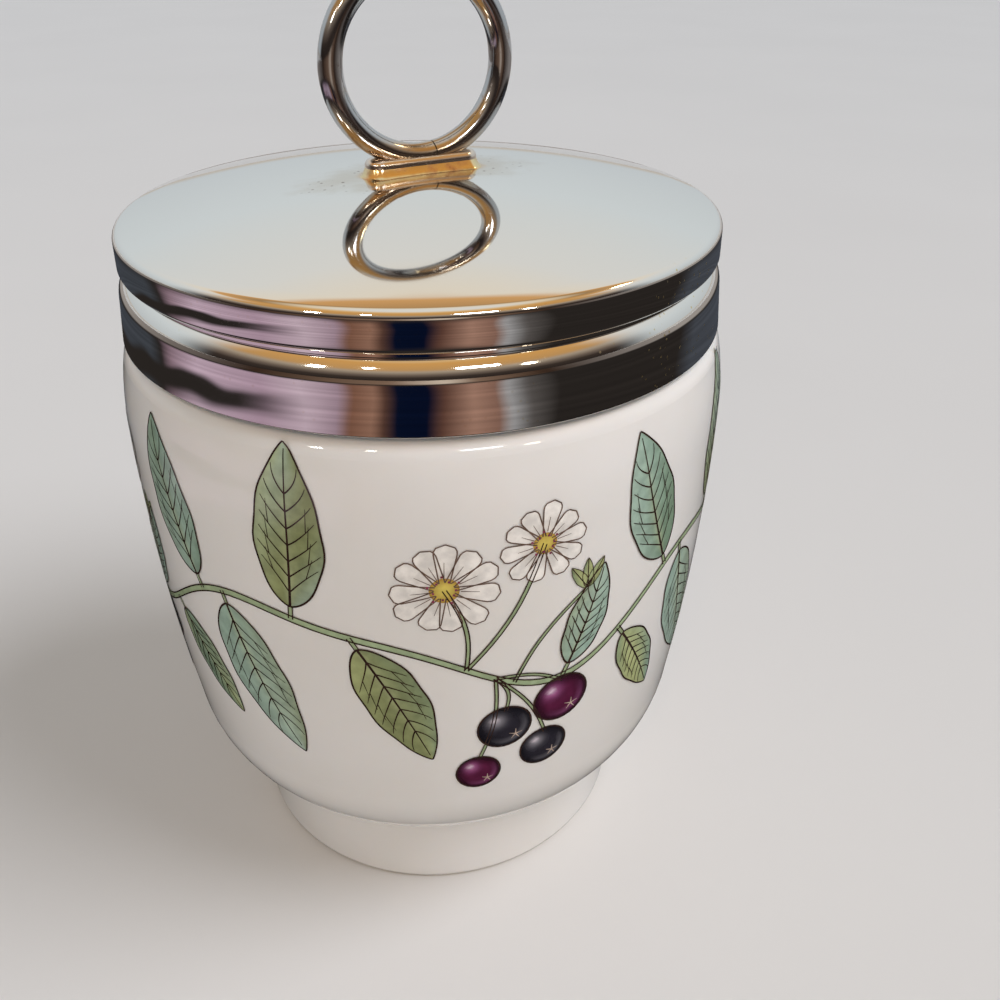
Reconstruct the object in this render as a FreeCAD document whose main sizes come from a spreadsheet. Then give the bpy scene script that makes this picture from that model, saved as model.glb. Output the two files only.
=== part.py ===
import FreeCAD, Part
import math
import os

import Sketcher

# An egg coddler: a threaded porcelain cup under a plated screw lid with a lifting ring.
# Millimetres, +Z up, origin at the centre of the foot's underside.
# The ring stands in the XZ plane.

doc = FreeCAD.newDocument("EggCoddler")
sheet = doc.addObject("Spreadsheet::Sheet", "Dims")

DIMENSIONS = {
    # Porcelain foot
    "foot_radius": 23.9,
    "foot_edge_round": 0.7,
    "foot_rest_inner": 20.8,
    "foot_waist_radius": 23.2,
    "foot_waist_height": 8.6,
    "foot_joint_radius": 24.0,
    "foot_joint_height": 10.6,
    "foot_joint_round": 2.6,
    "foot_recess_radius": 20.0,
    "foot_recess_height": 8.2,
    "foot_recess_round": 2.2,
    # Porcelain bowl, outside
    "bowl_turn_radius": 31.5,
    "bowl_turn_height": 22.0,
    "bowl_turn_round": 14.3,
    "wall_round": 250,
    "belly_radius": 34.45,
    "belly_height": 58.5,
    "upper_wall_round": 31,
    "shoulder_radius": 33.8,
    "shoulder_height": 65.6,
    "shoulder_round": 2.5,
    "ledge_radius": 32.3,
    "ledge_height": 67.4,
    # Porcelain neck and rim
    "neck_radius": 29.7,
    "neck_base_height": 68.0,
    "neck_inner_radius": 27.2,
    "neck_inner_base": 69.0,
    "rim_height": 77.7,
    "rim_round": 1.15,
    # Porcelain bowl, inside
    "cavity_radius": 31.0,
    "cavity_height": 58.0,
    "cavity_neck_round": 14.5,
    "cavity_wall_round": 330,
    "cavity_turn_radius": 28.2,
    "cavity_turn_height": 23.0,
    "cavity_turn_round": 11,
    "cavity_floor_radius": 17.6,
    "cavity_floor_height": 13.2,
    # Screw thread, the same pitch on the cup and in the lid
    "thread_pitch": 4.5,
    "thread_turns": 1,
    "thread_root_half": 0.95,
    "thread_crest_half": 0.35,
    "thread_root_sink": 0.3,
    "cup_thread_height": 70.6,
    "cup_thread_crest": 30.75,
    "collar_thread_height": 70.2,
    "collar_thread_crest": 30.05,
    "collar_thread_start": 120,
    # Pressed lid shell
    "shell_thickness": 0.5,
    "hem_height": 67.75,
    "hem_round": 0.2,
    "lower_band_radius": 33.2,
    "hem_radius": 33.5,
    "lower_band_top": 72.5,
    "lower_band_round": 1.1,
    "crease_radius": 32.1,
    "crease_top": 74.4,
    "upper_band_radius": 32.95,
    "upper_band_bottom": 75.1,
    "upper_band_top": 78.1,
    "crown_edge_round": 0.95,
    "crown_edge_radius": 32.24,
    "crown_edge_height": 79.02,
    "crown_height": 83.25,
    # Threaded collar and sealing washer inside the lid
    "collar_outer_radius": 31.55,
    "collar_inner_radius": 31.1,
    "collar_bottom": 68.6,
    "collar_top": 77.6,
    "washer_outer_radius": 30.8,
    "washer_inner_radius": 26.4,
    "washer_bottom": 77.75,
    "washer_thickness": 1.0,
    # Lifting ring
    "ring_radius": 9.7,
    "ring_wire_radius": 1.28,
    "ring_height": 94.6,
    "ring_seam_gap": 0.8,
    "ring_seam_lean": 8,
    # Saddle under the ring, and the braze round it
    "saddle_length": 13.0,
    "saddle_width": 3.3,
    "saddle_top": 85.0,
    "saddle_bottom": 82.0,
    "saddle_cut_margin": 1.0,
    "braze_bite": 0.05,
    "braze_toe_spread": 0.55,
    "braze_toe_rise": 0.2,
    "braze_waist_spread": 0.32,
    "braze_waist_rise": 0.42,
    "braze_spread": 0.15,
    "braze_rise": 0.75,
}

CENTRED = "centred"


def fill_sheet():
    """Writes every driving dimension into the sheet, each with its alias."""
    for row, (alias, value) in enumerate(DIMENSIONS.items(), start=1):
        sheet.set("A%d" % row, alias)
        sheet.set("B%d" % row, str(value))
        sheet.setAlias("B%d" % row, alias)
    doc.recompute()


def bound(text):
    """Turns a sum of aliases and numbers into an expression on the sheet."""
    words = text.split()
    return " ".join("Dims." + word if word in DIMENSIONS else word for word in words)


def bind(thing, **sizes):
    """Binds properties of an object to sums of aliases."""
    for prop, text in sizes.items():
        thing.setExpression(prop, bound(text))


def value_of(text):
    """Works out a sum of aliases as a number."""
    return float(sheet.evalExpression(bound(text)))


def origin_plane(body, role):
    """Finds one of a body's own origin planes."""
    return next(item for item in body.Origin.OriginFeatures if item.Role == role)


def new_sketch(body, name, role):
    """Adds a sketch on an origin plane of its own body."""
    sketch = body.newObject("Sketcher::SketchObject", name)
    sketch.AttachmentSupport = [(origin_plane(body, role), "")]
    sketch.MapMode = "FlatFace"
    return sketch


def arc_between(start, end, radius, side):
    """Makes the short arc from start to end that bulges left (+1) or right (-1) of the way."""
    chord = end - start
    middle = (start + end) * 0.5
    left = FreeCAD.Vector(-chord.y, chord.x, 0).normalize()
    drop = math.sqrt(max(radius**2 - (chord.Length / 2) ** 2, 0))
    centre = middle - left * (drop * side)
    first, last = (end, start) if side > 0 else (start, end)
    turn_first = math.atan2(first.y - centre.y, first.x - centre.x)
    turn_last = math.atan2(last.y - centre.y, last.x - centre.x)
    if turn_last < turn_first:
        turn_last += 2 * math.pi
    circle = Part.Circle(centre, FreeCAD.Vector(0, 0, 1), radius)
    return Part.ArcOfCircle(circle, turn_first, turn_last)


def centred_radius(start, end):
    """Works out the radius of an arc through two points whose centre is on the vertical axis."""
    inner, outer = sorted((start, end), key=lambda spot: abs(spot.x))
    rise = inner.y - outer.y
    return (outer.x**2 + rise**2) / (2 * rise)


def pin_point(sketch, edge, end, across, up):
    """Holds one end of an edge at sums of aliases across and up from the origin."""
    for kind, text, axis in (("DistanceX", across, -2), ("DistanceY", up, -1)):
        if text == "0":
            sketch.addConstraint(Sketcher.Constraint("PointOnObject", edge, end, axis))
            continue
        value = value_of(text)
        index = sketch.addConstraint(Sketcher.Constraint(kind, -1, 1, edge, end, value))
        sketch.setExpression("Constraints[%d]" % index, bound(text))


def draw_outline(sketch, corners):
    """Draws a closed outline: each corner is (across, up) or (across, up, radius, side).

    The radius and side describe the arc that arrives at that corner. A centred arc has
    its centre on the vertical axis, and its radius follows from its two ends.
    """
    spots = [FreeCAD.Vector(value_of(corner[0]), value_of(corner[1]), 0) for corner in corners]
    ends = []
    for index, corner in enumerate(corners):
        start, end = spots[index - 1], spots[index]
        if len(corner) == 2:
            edge = sketch.addGeometry(Part.LineSegment(start, end), False)
            ends.append((edge, 1, 2))
            continue
        side = corner[3]
        radius = centred_radius(start, end) if corner[2] == CENTRED else value_of(corner[2])
        edge = sketch.addGeometry(arc_between(start, end, radius, side), False)
        ends.append((edge, 2, 1) if side > 0 else (edge, 1, 2))
    for index, (edge, start, end) in enumerate(ends):
        following, next_start = ends[(index + 1) % len(ends)][:2]
        sketch.addConstraint(Sketcher.Constraint("Coincident", edge, end, following, next_start))
        pin_point(sketch, edge, end, corners[index][0], corners[index][1])
        radius = corners[index][2] if len(corners[index]) == 4 else None
        if radius == CENTRED:
            sketch.addConstraint(Sketcher.Constraint("PointOnObject", edge, 3, -2))
        elif radius:
            held = sketch.addConstraint(Sketcher.Constraint("Radius", edge, value_of(radius)))
            sketch.setExpression("Constraints[%d]" % held, bound(radius))


def turned_body(label, corners):
    """Turns a closed half outline round the vertical axis."""
    body = doc.addObject("PartDesign::Body", label)
    body.Label = label
    sketch = new_sketch(body, label + "_outline", "XZ_Plane")
    draw_outline(sketch, corners)
    doc.recompute()
    turned = body.newObject("PartDesign::Revolution", label + "_turned")
    turned.Profile = sketch
    turned.ReferenceAxis = (sketch, ["V_Axis"])
    turned.Angle = 360
    body.Tip = turned
    doc.recompute()
    return body


def add_thread(body, root, crest, height):
    """Winds one thread ridge on a body, from its root radius out or in to its crest."""
    sketch = new_sketch(body, body.Label + "_ridge", "XZ_Plane")
    corners = [
        (root, height + " - thread_root_half"),
        (crest, height + " - thread_crest_half"),
        (crest, height + " + thread_crest_half"),
        (root, height + " + thread_root_half"),
    ]
    draw_outline(sketch, corners)
    doc.recompute()
    ridge = body.newObject("PartDesign::AdditiveHelix", body.Label + "_thread")
    ridge.Profile = sketch
    ridge.ReferenceAxis = (sketch, ["V_Axis"])
    ridge.Mode = "pitch-turns-angle"
    bind(ridge, Pitch="thread_pitch", Turns="thread_turns")
    body.Tip = ridge
    doc.recompute()
    return ridge


def porcelain_cup():
    """The fired cup: foot, bowl, threaded neck and rim in one piece."""
    corners = [
        ("0", "foot_recess_height"),
        ("foot_recess_radius - foot_recess_round", "foot_recess_height"),
        ("foot_recess_radius", "foot_recess_height - foot_recess_round", "foot_recess_round", 1),
        ("foot_rest_inner", "0"),
        ("foot_radius - foot_edge_round", "0"),
        ("foot_radius", "foot_edge_round", "foot_edge_round", -1),
        ("foot_waist_radius", "foot_waist_height"),
        ("foot_joint_radius", "foot_joint_height", "foot_joint_round", 1),
        ("bowl_turn_radius", "bowl_turn_height", "bowl_turn_round", -1),
        ("belly_radius", "belly_height", "wall_round", -1),
        ("shoulder_radius", "shoulder_height", "upper_wall_round", -1),
        ("ledge_radius", "ledge_height", "shoulder_round", -1),
        ("neck_radius", "neck_base_height"),
        ("neck_radius", "rim_height - rim_round"),
        ("neck_radius - rim_round", "rim_height", "rim_round", -1),
        ("neck_inner_radius + rim_round", "rim_height"),
        ("neck_inner_radius", "rim_height - rim_round", "rim_round", -1),
        ("neck_inner_radius", "neck_inner_base"),
        ("cavity_radius", "cavity_height", "cavity_neck_round", 1),
        ("cavity_turn_radius", "cavity_turn_height", "cavity_wall_round", 1),
        ("cavity_floor_radius", "cavity_floor_height", "cavity_turn_round", 1),
        ("0", "cavity_floor_height"),
    ]
    body = turned_body("porcelain_cup", corners)
    add_thread(body, "neck_radius - thread_root_sink", "cup_thread_crest", "cup_thread_height")
    return body


def lid_shell():
    """The pressed and plated outer lid: crown, two bands with a crease between, and hem."""
    corners = [
        ("0", "crown_height - shell_thickness"),
        ("crown_edge_radius", "crown_edge_height - shell_thickness", CENTRED, 1),
        ("upper_band_radius - shell_thickness", "upper_band_top", "crown_edge_round", 1),
        ("upper_band_radius - shell_thickness", "upper_band_bottom"),
        ("crease_radius - shell_thickness", "crease_top"),
        ("crease_radius - shell_thickness", "lower_band_top + lower_band_round - shell_thickness"),
        ("lower_band_radius - shell_thickness", "lower_band_top", "lower_band_round", 1),
        ("hem_radius - shell_thickness", "hem_height + hem_round"),
        ("hem_radius - shell_thickness + hem_round", "hem_height", "hem_round", -1),
        ("hem_radius - hem_round", "hem_height"),
        ("hem_radius", "hem_height + hem_round", "hem_round", -1),
        ("lower_band_radius", "lower_band_top"),
        ("crease_radius", "lower_band_top + lower_band_round", "lower_band_round", -1),
        ("crease_radius", "crease_top"),
        ("upper_band_radius", "upper_band_bottom", "upper_band_bottom - crease_top", -1),
        ("upper_band_radius", "upper_band_top"),
        ("crown_edge_radius", "crown_edge_height", "crown_edge_round", -1),
        ("0", "crown_height", CENTRED, -1),
    ]
    return turned_body("lid_shell", corners)


def lid_threaded_collar():
    """The band inside the lid that carries the thread."""
    corners = [
        ("collar_inner_radius", "collar_bottom"),
        ("collar_outer_radius", "collar_bottom"),
        ("collar_outer_radius", "collar_top"),
        ("collar_inner_radius", "collar_top"),
    ]
    body = turned_body("lid_threaded_collar", corners)
    add_thread(
        body, "collar_inner_radius + thread_root_sink", "collar_thread_crest", "collar_thread_height"
    )
    turn = FreeCAD.Rotation(FreeCAD.Vector(0, 0, 1), value_of("collar_thread_start"))
    body.Placement = FreeCAD.Placement(FreeCAD.Vector(0, 0, 0), turn)
    body.setExpression("Placement.Rotation.Angle", bound("collar_thread_start") + " * 1 deg")
    return body


def sealing_washer():
    """The flat ring between the cup's rim and the crown."""
    corners = [
        ("washer_inner_radius", "washer_bottom"),
        ("washer_outer_radius", "washer_bottom"),
        ("washer_outer_radius", "washer_bottom + washer_thickness"),
        ("washer_inner_radius", "washer_bottom + washer_thickness"),
    ]
    return turned_body("sealing_washer", corners)


def lifting_ring():
    """A round wire bent into a ring, its two ends butted low on one side."""
    body = doc.addObject("PartDesign::Body", "lifting_ring")
    body.Label = "lifting_ring"
    sketch = new_sketch(body, "ring_wire", "XY_Plane")
    centre = FreeCAD.Vector(value_of("ring_radius"), 0, 0)
    circle = Part.Circle(centre, FreeCAD.Vector(0, 0, 1), value_of("ring_wire_radius"))
    edge = sketch.addGeometry(circle, False)
    pin_point(sketch, edge, 3, "ring_radius", "0")
    held = sketch.addConstraint(Sketcher.Constraint("Radius", edge, value_of("ring_wire_radius")))
    sketch.setExpression("Constraints[%d]" % held, bound("ring_wire_radius"))
    doc.recompute()
    bent = body.newObject("PartDesign::Revolution", "ring_bent")
    bent.Profile = sketch
    bent.ReferenceAxis = (sketch, ["V_Axis"])
    bind(bent, Angle="360 - ring_seam_gap")
    body.Tip = bent
    lean = FreeCAD.Rotation(FreeCAD.Vector(0, 1, 0), 90 - value_of("ring_seam_lean"))
    body.Placement = FreeCAD.Placement(FreeCAD.Vector(0, 0, value_of("ring_height")), lean)
    bind(body, **{"Placement.Base.z": "ring_height"})
    doc.recompute()
    return body


def primitive(kind, name, place, **sizes):
    """Adds a Part primitive with its sizes and its place bound to the sheet."""
    thing = doc.addObject("Part::" + kind, name)
    bind(thing, **sizes)
    bind(thing, **{"Placement.Base." + axis: text for axis, text in place.items()})
    return thing


def boolean(kind, name, base, tool):
    """Adds a Part cut or fusion of two objects."""
    thing = doc.addObject("Part::" + kind, name)
    thing.Base = base
    thing.Tool = tool
    return thing


def crown_ball(name):
    """A ball whose top is the crown, sunk by the bite of the braze."""
    rise = "( crown_height - crown_edge_height )"
    radius = "( crown_edge_radius ^ 2 + " + rise + " ^ 2 ) / ( 2 * " + rise + " )"
    ball = primitive("Sphere", name, {"z": "crown_height - " + radius}, Radius=radius + " - braze_bite")
    return ball


def ring_wire(name, wire_radius):
    """The whole ring as a torus, to hollow what is fitted round it."""
    wire = primitive(
        "Torus", name, {"z": "ring_height"}, Radius1="ring_radius", Radius2=wire_radius
    )
    wire.Placement.Rotation = FreeCAD.Rotation(FreeCAD.Vector(1, 0, 0), 90)
    return wire


def rounded_bar(name, grow, bottom, top):
    """A bar along X with round ends, wider and longer than the saddle by grow each way."""
    length = "saddle_length - saddle_width"
    tall = top + " - ( " + bottom + " )"
    block = primitive(
        "Box",
        name + "_block",
        {"x": "( " + length + " ) / -2", "y": "saddle_width / -2 - " + grow, "z": bottom},
        Length=length,
        Width="saddle_width + 2 * " + grow,
        Height=tall,
    )
    bar = block
    for side, sign in (("left", "-2"), ("right", "2")):
        end = primitive(
            "Cylinder",
            name + "_" + side,
            {"x": "( " + length + " ) / " + sign, "z": bottom},
            Radius="saddle_width / 2 + " + grow,
            Height=tall,
        )
        bar = boolean("Fuse", name + "_with_" + side, bar, end)
    return bar


def ring_saddle():
    """The low bar under the ring, hollowed to the wire above and to the crown below."""
    bar = rounded_bar("saddle_bar", "0", "saddle_bottom", "saddle_top")
    wire = ring_wire("saddle_groove", "ring_wire_radius - braze_bite")
    crown = crown_ball("saddle_crown")
    grooved = boolean("Cut", "saddle_grooved", bar, wire)
    seated = boolean("Cut", "ring_saddle", grooved, crown)
    seated.Label = "ring_saddle"
    doc.recompute()
    return seated


def braze_fillets():
    """The braze metal: a skirt round the saddle's base that steps in as it climbs."""
    toe = rounded_bar("braze_toe", "braze_toe_spread", "saddle_bottom", "crown_height + braze_toe_rise")
    waist = rounded_bar("braze_waist", "braze_waist_spread", "saddle_bottom", "crown_height + braze_waist_rise")
    top = rounded_bar("braze_top", "braze_spread", "saddle_bottom", "crown_height + braze_rise")
    metal = boolean("Fuse", "braze_skirt", toe, waist)
    metal = boolean("Fuse", "braze_metal", metal, top)
    bar = rounded_bar("braze_hollow", "0", "saddle_bottom - saddle_cut_margin", "saddle_top")
    crown = crown_ball("braze_crown")
    for name, tool in (("braze_open", bar), ("braze_fillets", crown)):
        metal = boolean("Cut", name, metal, tool)
    metal.Label = "braze_fillets"
    doc.recompute()
    return metal


def check_document():
    """Stops if any object of the document failed to build."""
    doc.recompute()
    for thing in doc.Objects:
        if "Invalid" in thing.State or "Error" in thing.State:
            raise RuntimeError("%s did not build: %s" % (thing.Label, thing.State))


def write_nodes(nodes):
    """Checks each finished piece and writes it to its own file."""
    for node in nodes:
        if node.Shape.isNull() or not node.Shape.isValid():
            raise RuntimeError("%s has no valid shape" % node.Label)
    os.makedirs("parts", exist_ok=True)
    for node in nodes:
        node.Shape.exportStep("parts/%s.step" % node.Label)
        box = node.Shape.BoundBox
        size = (box.XMin, box.XMax, box.YMin, box.YMax, box.ZMin, box.ZMax)
        print(node.Label, "volume %.1f" % node.Shape.Volume, "box", ["%.2f" % edge for edge in size])


fill_sheet()
pieces = [
    porcelain_cup(),
    lid_shell(),
    lid_threaded_collar(),
    sealing_washer(),
    lifting_ring(),
    ring_saddle(),
    braze_fillets(),
]
check_document()
write_nodes(pieces)
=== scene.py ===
"""The looks of a porcelain egg coddler with a plated screw lid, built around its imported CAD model."""

import logging
import math
import random
from dataclasses import dataclass, field
from enum import Enum
from functools import partial
from typing import Any, Callable

import bpy
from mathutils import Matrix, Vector


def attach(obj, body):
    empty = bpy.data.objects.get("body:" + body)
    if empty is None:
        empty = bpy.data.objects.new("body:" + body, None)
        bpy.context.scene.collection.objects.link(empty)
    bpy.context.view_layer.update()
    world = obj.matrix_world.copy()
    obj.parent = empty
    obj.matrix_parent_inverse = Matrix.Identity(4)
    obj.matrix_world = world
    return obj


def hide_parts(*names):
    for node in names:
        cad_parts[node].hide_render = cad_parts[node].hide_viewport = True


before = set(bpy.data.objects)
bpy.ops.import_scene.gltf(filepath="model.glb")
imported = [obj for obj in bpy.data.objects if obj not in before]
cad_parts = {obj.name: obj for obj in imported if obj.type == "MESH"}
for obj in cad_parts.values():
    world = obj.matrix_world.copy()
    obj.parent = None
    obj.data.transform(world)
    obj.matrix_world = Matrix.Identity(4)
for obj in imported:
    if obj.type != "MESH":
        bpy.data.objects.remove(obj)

log = logging.getLogger("coddler")
MM = 0.001
CUP_ROUND = 34.0  # mm: the cup's radius, by which the print is measured round it
MERGE = 1e-7  # metres: points closer than this become one
Colour = tuple[float, float, float, float]
Flat = tuple[float, float]  # a point of the print, arc in mm round the cup and mm up its wall, or of a lathe's profile
Tones = tuple[tuple[float, "str | float"], ...]  # a ramp's stops in rising order: place, and hex colour or linear grey
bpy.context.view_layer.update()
# How a kind of node is used here unless a call says otherwise, and the property that its mode sets.
HABITS = {"Mix": {"data_type": "RGBA"}, "MapRange": {"interpolation_type": "SMOOTHSTEP"}}
MODES = {"Math": "operation", "Mix": "blend_type"}


class Layer(Enum):
    """How far each layer of the print stands off the glaze, in mm."""

    WASH = 0.030
    BLOOM = 0.046
    FRUIT = 0.058
    INK = 0.070


# ---------------------------------------------------------------- colours and nodes


def linear(code: str | float) -> Colour:
    """Turns a colour to linear.

    Args:
        code: An sRGB hex colour as "#rrggbb", or a grey level that is linear already.

    Returns:
        Linear red, green and blue, and an alpha of 1.
    """
    if isinstance(code, float):
        return (code, code, code, 1.0)
    parts = [int(code[i : i + 2], 16) / 255 for i in (1, 3, 5)]
    r, g, b = (c / 12.92 if c <= 0.04045 else ((c + 0.055) / 1.055) ** 2.4 for c in parts)
    return (r, g, b, 1.0)


def blend(a: Colour, b: Colour, share: float) -> Colour:
    """Mixes two linear colours: a at share 0 and below, b at 1 and above."""
    k = min(1.0, max(0.0, share))
    return tuple(p + (q - p) * k for p, q in zip(a, b))  # type: ignore[return-value]


def grain(size: float) -> float:
    """Returns the scale at which a pattern's blotches are about that many mm across."""
    return 1 / (size * MM)


def feed(node: bpy.types.Node, **sockets: Any) -> None:
    """Sets or links a node's inputs.

    Args:
        node: The node.
        **sockets: For each input, as s0, s1 by number or by its name with _ for a space: a value, a hex colour or an
            output to link. None leaves it as it is.
    """
    for name, value in sockets.items():
        socket = node.inputs[int(name[1:])] if name[1:].isdigit() else node.inputs[name.replace("_", " ")]
        if isinstance(value, bpy.types.NodeSocket):
            node.id_data.links.new(value, socket)
        elif value is not None:
            socket.default_value = linear(value) if isinstance(value, str) else value


def add(
    tree: bpy.types.NodeTree,
    kind: str,
    *inputs: Any,
    stops: Tones = (),
    settings: dict[str, Any] | None = None,
    out: int | str | None = 0,
    **sockets: Any,
) -> Any:
    """Adds a node with its settings, values and links.

    Args:
        tree: The node tree.
        kind: The node's type without its common start, and its mode after a dot, as in Math.MULTIPLY.
        *inputs: Its inputs in turn, as feed takes them.
        stops: A colour ramp's stops.
        settings: Other properties by name.
        out: Which output is wanted, or None for the node itself.
        **sockets: More inputs, as feed takes them.

    Returns:
        The output, or the node.
    """
    kind, _, mode = kind.partition(".")
    node = tree.nodes.new("ShaderNode" + kind)
    chosen = HABITS.get(kind, {}) | ({MODES[kind]: mode} if mode else {}) | (settings or {})
    for name, value in chosen.items():
        setattr(node, name, value)
    points = node.color_ramp.elements if stops else []
    while len(points) < len(stops):
        points.new(0.5)
    for point, (place, colour) in zip(points, stops):
        point.position, point.color = place, linear(colour)
    feed(node, **{f"s{k}": value for k, value in enumerate(inputs)}, **sockets)
    return node if out is None else node.outputs[out]


def glowing(shader: bpy.types.Node, tone: Any, strength: float) -> None:
    """Turns a started material into one that only gives off light.

    Args:
        shader: The material's shader, which is taken out.
        tone: Its colour.
        strength: How bright it is.
    """
    tree = shader.id_data
    feed(shader.outputs["BSDF"].links[0].to_node, Surface=add(tree, "Emission", tone, strength))
    tree.nodes.remove(shader)


@dataclass(frozen=True)
class Finish:
    """What every finish shares: a named Principled material over Object coordinates in metres."""

    name: str

    def start(self) -> tuple[bpy.types.Material, Callable[..., Any], bpy.types.Node, bpy.types.NodeSocket]:
        """Makes an empty material.

        Returns:
            The material, add for its tree, its Principled shader and the object's own coordinates.
        """
        material = bpy.data.materials.new(self.name)
        material.use_nodes = True
        material.node_tree.nodes.clear()
        node = partial(add, material.node_tree)
        shader = node("BsdfPrincipled", out=None)
        node("OutputMaterial", shader.outputs["BSDF"], out=None).is_active_output = True
        return material, node, shader, node("TexCoord", out="Object")


@dataclass(frozen=True)
class GlazedBoneChina(Finish):
    """Bone china, slip cast and dipped in clear glaze: milky, translucent, mirror-smooth with a faint ripple."""

    name: str = "glazed_bone_china"
    body: str = "#f3f0ec"
    pooled: str = "#eeeae4"
    bisque: str = "#ddd4c6"
    glaze_ior: float = 1.54

    def make(self) -> bpy.types.Material:
        """Builds the material.

        Returns:
            The material.
        """
        material, node, shader, place = self.start()
        height = node("SeparateXYZ", place, out="Z")
        clouds = node("TexNoise", place, Scale=grain(24), Detail=3.0)  # the glaze's thickness drifts over 2 cm or so
        colour = node("ValToRGB", clouds, stops=((0.35, self.body), (0.68, self.pooled)))
        # The foot's resting edge is wiped bare before firing, about 0.2 mm up.
        bare = node("MapRange", height, 0.10 * MM, 0.28 * MM, 1.0, 0.0)
        sheen = node("MapRange", node("TexNoise", place, Scale=grain(7), Detail=3.0), 0.3, 0.7, 0.035, 0.075)
        ripple = node("TexNoise", place, Scale=grain(5), Detail=1.0)
        feed(
            shader,
            Base_Color=node("Mix", bare, s6=colour, s7=self.bisque, out=2),
            Roughness=node("Math.MULTIPLY_ADD", bare, 0.6, sheen),
            Normal=node("Bump", Height=ripple, Strength=0.12, Distance=0.02 * MM),
            IOR=self.glaze_ior,
            Subsurface_Weight=0.12,
            Subsurface_Radius=(1.0, 0.8, 0.6),
            Subsurface_Scale=1.2 * MM,
        )
        return material


@dataclass(frozen=True)
class BrightPlate(Finish):
    """Bright nickel-chrome plate over spun brass: a near mirror with heat-dulled haze and pin-point wear."""

    name: str = "bright_chrome_plate"
    metal: str = "#ece9e4"
    haze: str = "#c9b9a2"
    wear: str = "#e2cf9c"
    # partly braze run-out, partly a painted reflection of the saddle's warm face on the crown
    braze_and_reflected_gold: str = "#d9a14f"
    pit: str = "#6a4c36"
    haze_reach: float = 15.0  # mm from a brazed joint that the heat has dulled
    saddle_half: float = 4.85  # mm from the saddle's middle to where its rounded end starts
    crown_foot: tuple[float, float] = (81.0, 82.5)  # mm: only above these heights has the heat marked the plate
    band_top: tuple[float, float] = (79.0, 79.6)  # mm: only below these heights is the plate worn

    def make(self) -> bpy.types.Material:
        """Builds the material.

        Returns:
            The material.
        """
        material, node, shader, place = self.start()
        parts = node("SeparateXYZ", place, out=None).outputs
        across, deep, height = (parts[k] for k in "XYZ")
        on_top = node("MapRange", height, self.crown_foot[0] * MM, self.crown_foot[1] * MM)
        # Heat haze: longest along the saddle, broken by noise with grains of about 1.5 mm.
        along, beside = node("Math.MULTIPLY", across, 0.72), node("Math.MULTIPLY", deep, 1.55)
        squared = node("Math.MULTIPLY_ADD", along, along, node("Math.MULTIPLY", beside, beside))
        blotches = node("TexNoise", place, Scale=grain(3.0), Detail=4.0)
        ragged = node("Math.MULTIPLY_ADD", blotches, 9 * MM, node("Math.SQRT", squared))
        near = node("MapRange", ragged, (self.haze_reach - 6) * MM, (self.haze_reach + 1) * MM, 1.0, 0.0)
        dull = node("Math.MULTIPLY", near, on_top)
        # Straw gold round the saddle, for a millimetre or so from its rounded bar: partly braze that has run out,
        # partly a painted reflection of the saddle's warm face.
        past_bar = node("Math.SUBTRACT", node("Math.ABSOLUTE", across), self.saddle_half * MM)
        beyond = node("Math.MAXIMUM", past_bar, 0.0)
        gap = node("Math.SQRT", node("Math.MULTIPLY_ADD", beyond, beyond, node("Math.MULTIPLY", deep, deep)))
        reach_from_bar = node("Math.MULTIPLY_ADD", node("TexNoise", place, Scale=grain(2.2), Detail=2.0), 1.1 * MM, gap)
        braze_and_reflection_share = node("MapRange", reach_from_bar, 2.3 * MM, 3.5 * MM, 0.7, 0.0)
        spots = node("TexVoronoi", place, Scale=grain(1.1))
        pits = node("Math.MULTIPLY", node("MapRange", spots, 0.10, 0.20, 1.0, 0.0), dull)
        # Wear: specks of about 0.15 mm in loose patches, where the plate has gone through.
        specks = node("TexVoronoi", place, Scale=grain(0.75))
        patches = node("MapRange", node("TexNoise", place, Scale=grain(5), Detail=2.0), 0.44, 0.54)
        aside = node("Math.MULTIPLY_ADD", across, 0.33, node("Math.MULTIPLY", deep, -0.94))
        rubbed = node("Math.MAXIMUM", node("MapRange", aside, 28 * MM, 31.5 * MM), 0.12)
        rubbed = node("Math.MULTIPLY", rubbed, patches)
        worn = node("Math.MULTIPLY", node("MapRange", specks, 0.1, 0.24, 1.0, 0.0), rubbed)
        below = node("MapRange", height, self.band_top[0] * MM, self.band_top[1] * MM, 1.0, 0.0)
        worn = node("Math.MULTIPLY", worn, below)
        colour = self.metal
        for share, tone in (
            (node("Math.MULTIPLY", dull, 0.55), self.haze),
            # the gold round the saddle, partly a painted reflection
            (node("Math.MULTIPLY", braze_and_reflection_share, on_top), self.braze_and_reflected_gold),
            (worn, self.wear),
            (pits, self.pit),
        ):
            colour = node("Mix", share, s6=colour, s7=tone, out=2)
        wiped = node("MapRange", node("TexNoise", place, Scale=grain(9), Detail=3.0), 0.35, 0.7, 0.03, 0.06)
        rough = node("Math.MULTIPLY_ADD", dull, 0.10, wiped)
        lumps = node("Math.MULTIPLY", node("TexNoise", place, Scale=grain(1.4), Detail=3.0), dull)
        dents = node("Math.MULTIPLY_ADD", pits, -0.5, lumps)
        feed(
            shader,
            Base_Color=colour,
            Metallic=1.0,
            Roughness=node("Math.MULTIPLY_ADD", worn, 0.35, rough),
            Normal=node("Bump", Height=dents, Strength=0.25, Distance=0.05 * MM),
        )
        return material


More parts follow.
